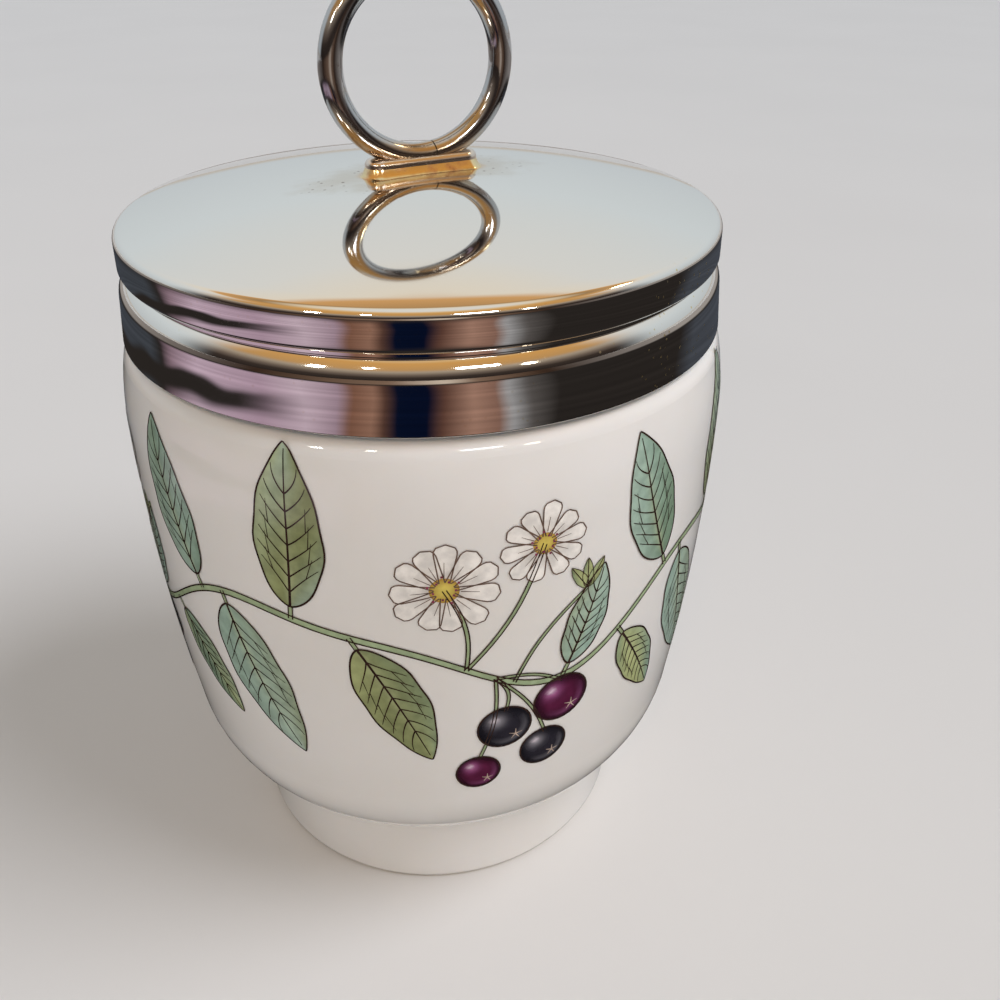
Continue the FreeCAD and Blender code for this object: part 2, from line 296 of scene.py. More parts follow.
@dataclass(frozen=True)
class TurnedSteel(Finish):
    """Steel collar, rolled with its thread and left bright: fine turning lines run round it about 0.25 mm apart."""

    name: str = "turned_steel"
    metal: str = "#b9b6b0"
    smeared: str = "#a29d95"
    pitch: float = 0.25

    def make(self) -> bpy.types.Material:
        """Builds the material.

        Returns:
            The material.
        """
        material, node, shader, place = self.start()
        stacked = node("CombineXYZ", s2=node("SeparateXYZ", place, out="Z"))
        lines = node("TexNoise", stacked, Scale=grain(self.pitch), Detail=2.0)
        smears = node("TexNoise", place, Scale=grain(6), Detail=3.0)
        feed(
            shader,
            Base_Color=node("ValToRGB", smears, stops=((0.3, self.metal), (0.7, self.smeared))),
            Metallic=1.0,
            Roughness=node("MapRange", lines, 0.3, 0.7, 0.2, 0.36),
            Normal=node("Bump", Height=lines, Strength=0.25, Distance=0.01 * MM),
        )
        return material


@dataclass(frozen=True)
class PressedRubber(Finish):
    """Moulded sealing rubber: matt, with a bloom of paler dust in patches and a fine moulded grain."""

    name: str = "moulded_rubber"
    rubber: str = "#b9aa98"
    dusty: str = "#cabda9"

    def make(self) -> bpy.types.Material:
        """Builds the material.

        Returns:
            The material.
        """
        material, node, shader, place = self.start()
        bloom = node("TexNoise", place, Scale=grain(4), Detail=3.0)
        moulded = node("TexNoise", place, Scale=grain(0.3), Detail=2.0)
        feed(
            shader,
            Base_Color=node("ValToRGB", bloom, stops=((0.35, self.rubber), (0.7, self.dusty))),
            Roughness=node("MapRange", moulded, 0.3, 0.7, 0.5, 0.68),
            Normal=node("Bump", Height=moulded, Strength=0.3, Distance=0.02 * MM),
            IOR=1.52,
        )
        return material


@dataclass(frozen=True)
class WarmBraze(Finish):
    """Brass brazing metal run round the saddle: copper to straw gold, melted smooth with darker flux stains."""

    name: str = "brass_braze"
    gold: str = "#e9d5a8"
    copper: str = "#d6b48e"
    stain: str = "#a07a60"

    def make(self) -> bpy.types.Material:
        """Builds the material.

        Returns:
            The material.
        """
        material, node, shader, place = self.start()
        flow = node("TexNoise", place, Scale=grain(1.6), Detail=4.0)
        wrinkles = node("TexNoise", place, Scale=grain(0.7), Detail=3.0)
        feed(
            shader,
            Base_Color=node("ValToRGB", flow, stops=((0.24, self.stain), (0.36, self.copper), (0.52, self.gold))),
            Metallic=1.0,
            Roughness=node("MapRange", flow, 0.3, 0.7, 0.26, 0.10),
            Normal=node("Bump", Height=wrinkles, Strength=0.35, Distance=0.06 * MM),
        )
        return material


@dataclass(frozen=True)
class PlatedWire(Finish):
    """Bright plate on bent wire: it warms to straw near the brazed joint, partly heat tint and partly a painted
    reflection of the warm saddle, with a few dull scuffs.
    """

    name: str = "bright_plated_wire"
    metal: str = "#b6b5b6"
    heat_and_reflection_tint: str = "#cdb79b"
    scuffed: str = "#8d7460"
    heat_and_reflection_strength: float = 0.6
    dullness: float = 0.11
    tint_fades_from: float = 86.4  # mm: the warm tint, heat tint with painted reflection, fades from here
    tint_gone_above: float = 89.2  # mm: and is gone here

    def make(self) -> bpy.types.Material:
        """Builds the material.

        Returns:
            The material.
        """
        material, node, shader, place = self.start()
        height = node("SeparateXYZ", place, out="Z")
        uneven = node("TexNoise", place, Scale=grain(2.0), Detail=3.0)
        ragged = node("Math.MULTIPLY_ADD", uneven, 3 * MM, height)
        # Warmer towards the joint: heat tint together with a painted reflection of the warm saddle.
        heat_and_reflection = node("MapRange", ragged, self.tint_fades_from * MM, self.tint_gone_above * MM, self.heat_and_reflection_strength, 0.0)
        scuffs = node("MapRange", node("TexNoise", place, Scale=grain(1.2), Detail=4.0), 0.6, 0.72)
        tint = node("Mix", heat_and_reflection, s6=self.metal, s7=self.heat_and_reflection_tint, out=2)
        rough = node("Math.MULTIPLY_ADD", heat_and_reflection, 0.08, self.dullness)
        feed(
            shader,
            Base_Color=node("Mix", node("Math.MULTIPLY", scuffs, 0.35), s6=tint, s7=self.scuffed, out=2),
            Metallic=1.0,
            Roughness=node("Math.MULTIPLY_ADD", scuffs, 0.14, rough),
        )
        return material


@dataclass(frozen=True)
class EnamelPrint(Finish):
    """Ceramic transfer colours fired under the glaze: each point's own tint, a little mottled, and as glossy as it."""

    name: str = "enamel_print"
    mottle_mm: float = 1.4
    strength: float = 0.16

    def make(self) -> bpy.types.Material:
        """Builds the material.

        Returns:
            The material.
        """
        material, node, shader, place = self.start()
        tint = node("Attribute", settings={"attribute_name": "tint"}, out="Color")
        cloudy = node("TexNoise", place, Scale=grain(self.mottle_mm), Detail=4.0)
        mottle = node("MapRange", cloudy, 0.25, 0.75, 1 - self.strength, 1 + self.strength)
        sheen = node("TexNoise", place, Scale=grain(7), Detail=3.0)
        feed(
            shader,
            Base_Color=node("Mix.MULTIPLY", 1.0, s6=tint, s7=node("CombineXYZ", mottle, mottle, mottle), out=2),
            Roughness=node("MapRange", sheen, 0.3, 0.7, 0.04, 0.08),
            IOR=GlazedBoneChina.glaze_ior,
        )
        return material


# ---------------------------------------------------------------- the print on the cup


@dataclass
class CupWall:
    """The cup's outer wall as a surface that the print is laid on."""

    node: bpy.types.Object
    low: float = 13.0
    high: float = 66.0
    step: float = 0.5
    middle: float = 40.0  # mm: the height that the print is measured from
    front: float = -113.3  # degrees: the side that the camera sees
    places: list[tuple[float, float]] = field(default_factory=list)

    def measure(self) -> None:
        """Reads the wall's radius at each height from the cup's own mesh."""
        bpy.context.view_layer.update()
        count = int((self.high - self.low) / self.step) + 1
        for k in range(count):
            z = self.low + k * self.step
            best = 0.0
            for turn in range(7):
                angle = math.radians(11.7 * turn + 3)
                ray = Vector((math.cos(angle), math.sin(angle), 0))
                hit, spot, _, _ = self.node.ray_cast(ray * 0.1 + Vector((0, 0, z * MM)), -ray)
                best = max(best, math.hypot(spot.x, spot.y) / MM if hit else 0.0)
            self.places.append((z, best))

    def spot(self, flat: Flat, proud: float) -> Vector:
        """Wraps a point of the print round the cup.

        Args:
            flat: Arc in mm from the front, rightwards, and mm along the wall from its middle, upwards.
            proud: Mm off the surface.

        Returns:
            The point in metres.
        """
        arc, climb = flat
        z, radius = self._along(climb)
        low, high = self._radius(z - 0.5), self._radius(z + 0.5)
        lean = math.atan2(low - high, 1.0)
        out = radius + proud * math.cos(lean)
        angle = math.radians(self.front) + arc / CUP_ROUND
        return Vector((out * math.cos(angle), out * math.sin(angle), z + proud * math.sin(lean))) * MM

    def _radius(self, z: float) -> float:
        """Looks up the wall's radius.

        Args:
            z: The height in mm.

        Returns:
            The radius in mm.
        """
        at = min(max((z - self.low) / self.step, 0.0), len(self.places) - 1.001)
        k = int(at)
        return self.places[k][1] + (self.places[k + 1][1] - self.places[k][1]) * (at - k)

    def _along(self, climb: float) -> tuple[float, float]:
        """Walks up or down the wall from its middle.

        Args:
            climb: Mm along the wall, upwards.

        Returns:
            The height and the radius there, in mm.
        """
        z, left, way = self.middle, abs(climb), 1 if climb > 0 else -1
        while left > 1e-6:
            rise = min(0.5, left)
            slope = self._radius(z + way * 0.25) - self._radius(z - way * 0.25)
            dz = rise / math.hypot(1.0, slope / 0.5)
            z, left = z + way * dz, left - rise
        return z, self._radius(z)


@dataclass
class Sheet:
    """One layer of the print, gathered face by face."""

    wall: CupWall
    layer: Layer
    points: list[Vector] = field(default_factory=list)
    faces: list[tuple[int, ...]] = field(default_factory=list)
    tints: list[Colour] = field(default_factory=list)

    def patch(
        self,
        columns: int,
        rows: int,
        at: Callable[[float, float], Flat],
        tint: Callable[[float, float], Colour],
        lift: float = 0.0,
        wrap: bool = False,
    ) -> None:
        """Adds a grid of quads.

        Args:
            columns: Quads along u.
            rows: Quads along v.
            at: Gives the print's point for u and v from 0 to 1.
            tint: Gives the colour there.
            lift: Mm above the layer.
            wrap: Whether the last column joins the first.
        """
        first, span = len(self.points), columns + (0 if wrap else 1)
        for j in range(rows + 1):
            for i in range(span):
                u, v = i / columns, j / rows
                self.points.append(self.wall.spot(at(u, v), self.layer.value + lift))
                self.tints.append(tint(u, v))
        for j in range(rows):
            for i in range(columns):
                a, b = first + j * span + i, first + j * span + (i + 1) % span
                self.faces.append((a, b, b + span, a + span))

    def ribbon(self, line: list[Flat], width: tuple[float, float], tint: Colour, lift: float = 0.0) -> None:
        """Adds a brush line.

        Args:
            line: Its points.
            width: Its widths at the start and the end, in mm.
            tint: Its colour.
            lift: Mm above the layer.
        """
        first, last = len(self.points), len(line) - 1
        for k, (x, y) in enumerate(line):
            ahead, behind = line[min(k + 1, last)], line[max(k - 1, 0)]
            dx, dy = ahead[0] - behind[0], ahead[1] - behind[1]
            size = math.hypot(dx, dy) or 1.0
            half = (width[0] + (width[1] - width[0]) * k / last) / 2
            for side in (1, -1):
                edge = (x - side * dy / size * half, y + side * dx / size * half)
                self.points.append(self.wall.spot(edge, self.layer.value + lift))
                self.tints.append(tint)
        for k in range(last):
            a = first + 2 * k
            self.faces.append((a, a + 1, a + 3, a + 2))

    def piece(self, name: str, finish: bpy.types.Material) -> bpy.types.Object:
        """Makes the layer a piece of the cup.

        Args:
            name: The piece's name.
            finish: Its material.

        Returns:
            The new object.
        """
        mesh = bpy.data.meshes.new(name)
        mesh.from_pydata([tuple(p) for p in self.points], [], self.faces)
        colours = mesh.color_attributes.new("tint", "FLOAT_COLOR", "POINT")
        colours.data.foreach_set("color", [c for tint in self.tints for c in tint])
        made = bpy.data.objects.new(name, mesh)
        bpy.context.scene.collection.objects.link(made)
        bpy.ops.object.select_all(action="DESELECT")
        made.select_set(True)
        bpy.context.view_layer.objects.active = made
        bpy.ops.object.mode_set(mode="EDIT")
        bpy.ops.mesh.select_all(action="SELECT")
        bpy.ops.mesh.remove_doubles(threshold=MERGE)
        bpy.ops.object.mode_set(mode="OBJECT")
        bpy.ops.object.shade_smooth()
        outward = sum(f.normal.x * f.center.x + f.normal.y * f.center.y > 0 for f in mesh.polygons)
        if outward < len(mesh.polygons) / 2:
            mesh.flip_normals()
        mesh.materials.append(finish)
        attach(made, "cup")
        return made


@dataclass
class Sprig:
    """A garland of leaves, round berries and small daisies in transfer colours, repeated round the cup."""

    wall: CupWall
    repeats: int = 4
    sway: float = 4.6
    leaf_length: float = 18.5
    leaf_width: float = 10.4
    berry: float = 3.0
    daisy: float = 5.4
    start: float = 24.0
    ink: str = "#3a2a24"
    thin_ink: str = "#6b564b"
    greens: tuple[str, ...] = ("#7f977f", "#9fb8a8", "#b4c9b8", "#8b9265", "#b6bd86")
    fruits: tuple[tuple[str, str, str], ...] = (("#5c1f3f", "#2a0f1c", "#b2659b"), ("#2c2a33", "#14131a", "#9b98a0"))
    draw: random.Random = field(default_factory=lambda: random.Random(5))

    def build(self) -> list[bpy.types.Object]:
        """Draws the whole garland.

        Returns:
            Its pieces, one for each layer.
        """
        self.washes = Sheet(self.wall, Layer.WASH)
        self.petals = Sheet(self.wall, Layer.BLOOM)
        self.fruit = Sheet(self.wall, Layer.FRUIT)
        self.lines = Sheet(self.wall, Layer.INK)
        self.main_stem()
        for k in range(self.repeats):
            self.motif(self.start + k * self.spacing(), k)
        finish = EnamelPrint().make()
        inked = EnamelPrint("enamel_ink", 0.8, 0.3).make()
        return [
            self.washes.piece("print_leaf_washes", finish),
            self.petals.piece("print_daisies", finish),
            self.fruit.piece("print_berries", finish),
            self.lines.piece("print_ink_lines", inked),
        ]

    def spacing(self) -> float:
        """Returns the arc in mm from one motif to the next."""
        return CUP_ROUND * math.tau / self.repeats

    def stem_at(self, arc: float) -> Flat:
        """Returns the stem's point at an arc in mm."""
        turn = math.tau * (arc - self.start) / self.spacing()
        return (arc, self.sway * math.sin(turn) + 1.1 * math.sin(2 * turn + 0.8) + 3.6)

    def main_stem(self) -> None:
        """Draws the stem: a pale green wash between two ink lines."""
        steps = 240
        line = [self.stem_at(self.spacing() * self.repeats * k / steps) for k in range(steps + 1)]
        self.washes.ribbon(line, (0.75, 0.75), linear("#a9bb94"), 0.004)
        for side in (0.4, -0.4):
            self.lines.ribbon([(x, y + side) for x, y in line], (0.16, 0.16), linear(self.ink))

    def twig(self, start: Flat, end: Flat, sag: float, width: float = 0.5) -> None:
        """Draws a side stalk.

        Args:
            start: Where it leaves the stem.
            end: Where it ends.
            sag: How far its middle bows, in mm.
            width: The wash's width in mm.
        """
        line = []
        dx, dy = end[0] - start[0], end[1] - start[1]
        size = math.hypot(dx, dy) or 1.0
        for k in range(13):
            t = k / 12
            bow = sag * math.sin(math.pi * t)
            line.append((start[0] + dx * t - dy / size * bow, start[1] + dy * t + dx / size * bow))
        self.washes.ribbon(line, (width, width * 0.7), linear("#a3b48c"), 0.008)
        for side in (1, -1):
            edge = [(x - dy / size * side * width / 2, y + dx / size * side * width / 2) for x, y in line]
            self.lines.ribbon(edge, (0.15, 0.12), linear(self.ink))

    def leaf(self, base: Flat, heading: float, length: float, width: float, bend: float, palette: int) -> None:
        """Draws an almond leaf with a wash that turns from one green to another, and inked veins.

        Args:
            base: Where its stalk meets the stem.
            heading: Degrees from rightwards, anticlockwise.
            length: Mm from base to tip.
            width: Mm across.
            bend: How far the tip leans, as a share of the length.
            palette: Which greens it starts from.
        """
        way = math.radians(heading)
        cos, sin = math.cos(way), math.sin(way)
        lift = 0.004 * self.draw.random()
        wave = self.draw.uniform(0, math.tau)
        tones = [linear(self.greens[(palette + k) % len(self.greens)]) for k in range(3)]

        def half(t: float) -> float:
            """Returns half the width in mm at a share of the length."""
            swell = (t**0.62) * ((1 - t) ** 0.86) * 1.93
            return width / 2 * swell * (1 + 0.03 * math.sin(19 * t + wave))

        def at(t: float, side: float) -> Flat:
            """Returns the point at a share of the length, from the midrib at 0 to an edge at 1 or -1."""
            along, across = length * t, side * half(t) + bend * length * t * t
            return (base[0] + along * cos - across * sin, base[1] + along * sin + across * cos)

        def tint(u: float, v: float) -> Colour:
            """Mixes the wash's colour.

            Args:
                u: Share of the length.
                v: Share of the width.

            Returns:
                The colour.
            """
            side = 2 * v - 1
            drift = 0.5 + 0.5 * math.sin(3.1 * u + 1.3 * side + wave)
            colour = blend(tones[0], tones[1], drift)
            colour = blend(colour, tones[2], 0.75 * max(0.0, side) * (0.35 + 0.65 * u))
            return blend(colour, linear("#cfd6a6"), 0.55 * math.exp(-((side / 0.16) ** 2)) * (1 - u))

        def eased(share: float) -> float:
            """Returns the share of the length, with finer steps at base and tip."""
            return 0.5 - 0.5 * math.cos(math.pi * share)

        lift += 0.012
        self.washes.patch(28, 12, lambda u, v: at(eased(u), 2 * v - 1), lambda u, v: tint(eased(u), v), lift)
        ink = linear(self.ink)
        taper = (min(0.22, 0.02 * length), 0.17 if length > 6 else 0.08)
        for side in (1.0, -1.0):
            self.lines.ribbon([at(eased(k / 36), side) for k in range(37)], taper, ink)
        self.lines.ribbon([at(k / 24, 0.0) for k in range(24)], (min(0.30, 0.03 * length), 0.1), ink)
        veins = 7 if length > 12 else 5 if length > 6 else 0
        for k in range(veins):
            t0 = 0.10 + 0.72 * k / veins
            for side in (1, -1):
                reach = 0.84 + 0.06 * self.draw.random()
                line = [at(t0 + 0.20 * q / 8 * (1 - 0.35 * t0), side * reach * (q / 8) ** 0.9) for q in range(9)]
                self.lines.ribbon(line, (0.17, 0.07), ink)
                if k < 4:
                    (x, y), (to_x, to_y) = line[5], at(t0 + 0.30, side * 0.72)
                    fork = [(x + (to_x - x) * s / 4, y + (to_y - y) * s / 4) for s in range(4)]
                    self.lines.ribbon(fork, (0.10, 0.05), ink)

    def round_berry(self, centre: Flat, radius: float, kind: int) -> None:
        """Draws a round berry with a soft highlight, a dark rim and a dried calyx.

        Args:
            centre: Its middle.
            radius: In mm.
            kind: Which of the fruit colours.
        """
        body, rim, light = (linear(c) for c in self.fruits[kind % len(self.fruits)])
        lift = 0.004 * self.draw.random()

        def at(u: float, v: float) -> Flat:
            """Returns the point at a share of a turn and of the radius."""
            return (centre[0] + radius * v * math.cos(math.tau * u), centre[1] + radius * v * math.sin(math.tau * u))

        def tint(u: float, v: float) -> Colour:
            """Mixes the fruit's colour, with its highlight and its glow.

            Args:
                u: Share of a turn.
                v: Share of the radius.

            Returns:
                The colour.
            """
            x, y = v * math.cos(math.tau * u), v * math.sin(math.tau * u)
            colour = blend(body, rim, (v - 0.45) / 0.5)
            glow = math.exp(-((x + 0.32) ** 2 + (y - 0.36) ** 2) / 0.085)
            spark = math.exp(-((x + 0.38) ** 2 + (y - 0.42) ** 2) / 0.012)
            back = 0.45 * math.exp(-((math.hypot(x, y) - 0.74) ** 2) / 0.012) * max(0.0, (x - y) / 1.3)
            colour = blend(blend(colour, light, glow), light, back)
            return blend(colour, linear("#efe3ea"), spark)

        self.fruit.patch(26, 9, at, tint, lift, wrap=True)
        ink = linear(self.ink)
        self.lines.ribbon([at(k / 28, 1.0) for k in range(29)], (0.2, 0.2), ink)
        x, y = centre[0] + 0.42 * radius, centre[1] - 0.46 * radius
        for k in range(5):
            turn = math.tau * (k / 5) + 0.3
            tip = (x + 0.26 * radius * math.cos(turn), y + 0.26 * radius * math.sin(turn))
            self.lines.ribbon([(x, y), tip], (0.16, 0.05), linear("#cdb7a6"), 0.002)

    def bloom(self, centre: Flat, radius: float, petals: int, turn: float) -> None:
        """Draws a daisy: narrow pale petals, outlined, round a yellow eye with plum dots.

        Args:
            centre: Its middle.
            radius: Mm to a petal's tip.
            petals: How many petals.
            turn: Degrees that the first one is turned.
        """
        white, shade = linear("#f6f1ea"), linear("#cfc6bd")
        thin = linear(self.thin_ink)
        for k in range(petals):
            way = math.radians(turn + 360 * k / petals + self.draw.uniform(-4, 4))
            cos, sin = math.cos(way), math.sin(way)
            size = radius * self.draw.uniform(0.92, 1.05)

            def at(t: float, side: float) -> Flat:
                """Finds a point of this petal.

                Args:
                    t: Share of the petal's length.
                    side: 0 at its middle, 1 or -1 at an edge.

                Returns:
                    The point.
                """
                half = radius * 0.2 * (0.45 + 0.75 * t) * math.sqrt(max(0.0, 1 - max(0.0, (t - 0.72) / 0.28) ** 2))
                along, across = size * (0.16 + 0.84 * t), half * side
                return (centre[0] + along * cos - across * sin, centre[1] + along * sin + across * cos)

            self.petals.patch(
                9,
                4,
                lambda u, v: at(u, 2 * v - 1),
                lambda u, v: blend(shade, white, 0.25 + 1.3 * u),
                0.001 * (k % 2),
            )
            for side in (1.0, -1.0):
                self.lines.ribbon([at(q / 12, side) for q in range(13)], (0.13, 0.13), thin, -0.004)
            self.lines.ribbon([at(0.15 + 0.1 * q, 0.1) for q in range(5)], (0.09, 0.04), thin, -0.004)
        eye, edge = linear("#e3cf6a"), linear("#b98f3f")

        def dot(u: float, v: float) -> Flat:
            """Returns the eye's point at a share of a turn and of its radius."""
            far = 0.27 * radius * v
            return (centre[0] + far * math.cos(math.tau * u), centre[1] + far * math.sin(math.tau * u))

        self.petals.patch(18, 3, dot, lambda u, v: blend(eye, edge, v * v), 0.006, wrap=True)
        for k in range(11):
            way, far = math.tau * k / 11, radius * (0.30 if k % 2 else 0.2)
            x, y = centre[0] + far * math.cos(way), centre[1] + far * math.sin(way)
            self.lines.ribbon([(x - 0.11, y), (x + 0.11, y)], (0.24, 0.24), linear("#8c4358"), 0.003)

    def motif(self, arc: float, number: int) -> None:
        """Draws one repeat: three large leaves, two small ones, berries, buds and daisies.

        Args:
            arc: Where it starts, in mm.
            number: Which repeat it is.
        """
        gap, draw = self.spacing(), self.draw
        large, wide = self.leaf_length, self.leaf_width
        for share, heading, size, bend, palette in (
            (0.06, 112, 0.94, -0.10, 0),
            (0.12, -74, 1.06, 0.12, 1),
            (0.28, 84, 0.98, 0.06, 2),
            (0.39, -66, 0.92, -0.08, 3),
            (0.80, 70, 0.66, 0.08, 1),
            (0.93, -52, 0.72, -0.06, 4),
        ):
            at = self.stem_at(arc + share * gap)
            turn = heading + draw.uniform(-5, 5)
            way = math.radians(turn)
            base = (at[0] + 1.6 * math.cos(way), at[1] + 1.6 * math.sin(way))
            self.twig(at, base, 0.0, 0.45)
            self.leaf(base, turn, large * size, wide * size, bend, palette)
        joint = self.stem_at(arc + 0.66 * gap)
        for dx, dy, size, kind in (
            (1.2, -7.4, 1.0, 0),
            (7.6, -5.2, 1.08, 1),
            (6.0, -12.0, 0.94, 0),
            (-1.6, -14.0, 0.84, 1),
        ):
            spot = (joint[0] + dx, joint[1] + dy)
            self.twig(joint, (spot[0], spot[1] + self.berry * size * 0.8), 0.8, 0.36)
            self.round_berry(spot, self.berry * size, kind + number)
        for dx, dy, size, petals in ((-5.0, 12.0, 1.0, 11), (4.6, 15.8, 0.84, 10)):
            spot = (joint[0] + dx, joint[1] + dy)
            self.twig(self.stem_at(joint[0] - 3), spot, -1.0, 0.4)
            self.bloom(spot, self.daisy * size, petals, draw.uniform(0, 30))
        bud = (joint[0] + 9.6, joint[1] + 9.0)
        self.twig(self.stem_at(joint[0] + 2), bud, 1.0, 0.36)
        for turn in (60, 92, 124):
            self.leaf(bud, turn, 3.6, 1.8, 0.0, 3)


# ---------------------------------------------------------------- dressing the CAD pieces


@dataclass
class Cup:
    """The porcelain cup: its CAD solid, glazed, and the print fired on it."""

    node: str = "porcelain_cup"

    def dress(self) -> list[str]:
        """Glazes the cup and lays the print on it.

        Returns:
            The names of its pieces.
        """
        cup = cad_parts[self.node]
        give(cup, GlazedBoneChina().make())
        wall = CupWall(cup)
        wall.measure()
        return [self.node, *(p.name for p in Sprig(wall).build())]


def outline(name: str, vertices: int, radius: float, z: float) -> bpy.types.Object:
    """Adds a flat ring to build from.

    Args:
        name: Its name.
        vertices: How many points it has.
        radius: In mm.
        z: Its height in mm.

    Returns:
        The new object.
    """
    place = (0, 0, z * MM)
    bpy.ops.object.select_all(action="DESELECT")
    bpy.ops.mesh.primitive_circle_add(vertices=vertices, radius=radius * MM, fill_type="NOTHING", location=place)
    made = bpy.context.object
    made.name = made.data.name = name
    bpy.ops.object.transform_apply(location=True, rotation=True, scale=True)
    return made


def stretch_up(rise: float) -> None:
    """Extrudes the selected edges upwards by that many mm."""
    bpy.ops.mesh.extrude_edges_move(TRANSFORM_OT_translate={"value": (0, 0, rise * MM)})


def tidy_mesh(angle: float) -> None:
    """Merges doubles, points the faces outwards and smooths them, in edit mode at first and object mode after.

    Args:
        angle: Degrees from which an edge stays sharp.
    """
    bpy.ops.mesh.select_all(action="SELECT")
    bpy.ops.mesh.remove_doubles(threshold=MERGE)
    bpy.ops.mesh.normals_make_consistent(inside=False)
    bpy.ops.object.mode_set(mode="OBJECT")
    bpy.ops.object.shade_smooth_by_angle(angle=math.radians(angle))


@dataclass
class Lathe:
    """Turns a profile about the vertical axis, as on a lathe: a ring is extruded and scaled from point to point."""

    segments: int = 256

    def turn(self, name: str, profile: list[Flat]) -> bpy.types.Object:
        """Makes a closed turned piece.

        Args:
            name: The piece's name.
            profile: Radius and height in mm from point to point; the first and last lie on the axis.

        Returns:
            The new object.
        """
        (first, base), top, foot = profile[1], profile[0][1], profile[-1][1]
        radius, z = first, base
        made = outline(name, self.segments, radius, z)
        bpy.ops.object.mode_set(mode="EDIT")
        bpy.ops.mesh.select_mode(type="EDGE")
        bpy.ops.mesh.select_all(action="SELECT")
        for far, high in profile[2:-1]:
            stretch_up(high - z)
            grown = far / radius
            bpy.ops.transform.resize(value=(grown, grown, 1), center_override=(0, 0, high * MM))
            radius, z = far, high
        self.close(foot - z)
        bpy.ops.object.mode_set(mode="OBJECT")
        for vertex in made.data.vertices:
            level, across = vertex.co.z - base * MM, math.hypot(vertex.co.x, vertex.co.y) - first * MM
            vertex.select = abs(level) < MERGE and abs(across) < MERGE
        for edge in made.data.edges:
            edge.select = all(made.data.vertices[v].select for v in edge.vertices)
        bpy.ops.object.mode_set(mode="EDIT")
        self.close(top - base)
        tidy_mesh(38)
        return made

    def close(self, rise: float) -> None:
        """Closes the selected ring to a pole that many mm above it."""
        stretch_up(rise)
        bpy.ops.mesh.merge(type="CENTER")


def curve(start: Flat, end: Flat, radius: float, side: int, steps: int = 9) -> list[Flat]:
    """Gives the points of an arc after its start, its end among them.

    Args:
        start: Its first point.
        end: Its last point.
        radius: Its radius.
        side: 1 where it bulges to the left of its travel, -1 to the right.
        steps: How many points.

    Returns:
        The points.
    """
    (x0, y0), (x1, y1) = start, end
    dx, dy = x1 - x0, y1 - y0
    chord = math.hypot(dx, dy)
    away = math.sqrt(max(0.0, radius * radius - chord * chord / 4))
    cx, cy = (x0 + x1) / 2 + side * dy / chord * away, (y0 + y1) / 2 - side * dx / chord * away
    a0, a1 = math.atan2(y0 - cy, x0 - cx), math.atan2(y1 - cy, x1 - cx)
    sweep = (a1 - a0 + math.pi) % math.tau - math.pi
    turns = [a0 + sweep * k / steps for k in range(1, steps + 1)]
    return [(cx + radius * math.cos(turn), cy + radius * math.sin(turn)) for turn in turns]


@dataclass
class LidShell:
    """The pressed lid, spun smooth: crown, two bands with a crease between them, and rolled hem."""

    thickness: float = 0.5
    hem_height: float = 67.75
    hem_radius: float = 33.5
    hem_round: float = 0.2
    lower_band: float = 33.2
    lower_top: float = 72.5
    shoulder_top: float = 74.9
    shoulder_round: float = 3.17
    crease: float = 32.1
    crease_top: float = 75.3
    upper_band: float = 32.95
    upper_bottom: float = 75.9
    upper_top: float = 78.6
    edge_round: float = 0.95
    edge: float = 32.24
    edge_height: float = 79.5
    crown_height: float = 83.25
    fine_ring: float = 0.4
    fine_rings: int = 28

    def profile(self) -> list[Flat]:
        """Draws the wall's outline, from the crown's middle down the outside and up the inside.

        Returns:
            Its points in mm.
        """
        sag = self.crown_height - self.edge_height
        ball = (self.edge * self.edge + sag * sag) / (2 * sag)
        drop = self.thickness

        def crown(r: float, sunk: float) -> Flat:
            """Returns the crown's point at a radius, that far under its outer face."""
            return (r, self.crown_height - sunk - ball + math.sqrt(ball * ball - r * r))

        # Fine rings lie round the joint, where the crown mirrors the ring, and 14 wider ones beyond.
        outer = [crown(self.fine_ring * k, 0) for k in range(self.fine_rings)]
        wide = self.fine_ring * self.fine_rings
        outer += [crown(wide + (self.edge - wide) * k / 14, 0) for k in range(1, 15)]
        outer += curve(outer[-1], (self.upper_band, self.upper_top), self.edge_round, 1)
        outer += [(self.upper_band, self.upper_bottom)]
        outer += curve(outer[-1], (self.crease, self.crease_top), self.upper_bottom - self.crease_top + 0.2, 1)
        outer += [(self.crease, self.shoulder_top)]
        outer += curve(outer[-1], (self.lower_band, self.lower_top), self.shoulder_round, 1, 12)
        outer += [(self.hem_radius, self.hem_height + self.hem_round)]
        outer += curve(outer[-1], (self.hem_radius - self.hem_round, self.hem_height), self.hem_round, 1, 5)
        inner = [(self.hem_radius - drop + self.hem_round, self.hem_height)]
        inner += curve(inner[-1], (self.hem_radius - drop, self.hem_height + self.hem_round), self.hem_round, 1, 4)
        inner += [(self.lower_band - drop, self.lower_top), (self.crease - drop, self.shoulder_top - drop)]
        inner += [(self.crease - drop, self.crease_top), (self.upper_band - drop, self.upper_bottom)]
        inner += [(self.upper_band - drop, self.upper_top), (self.edge, self.edge_height - drop)]
        inner += [crown(self.edge * (1 - k / 12), drop) for k in range(1, 13)]
        return outer + inner

    def build(self, finish: bpy.types.Material) -> bpy.types.Object:
        """Turns the shell.

        Args:
            finish: Its plate.

        Returns:
            The piece.
        """
        made = Lathe().turn("lid_shell_spun", self.profile())
        give(made, finish)
        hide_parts("lid_shell")
        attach(made, "lid")
        return made


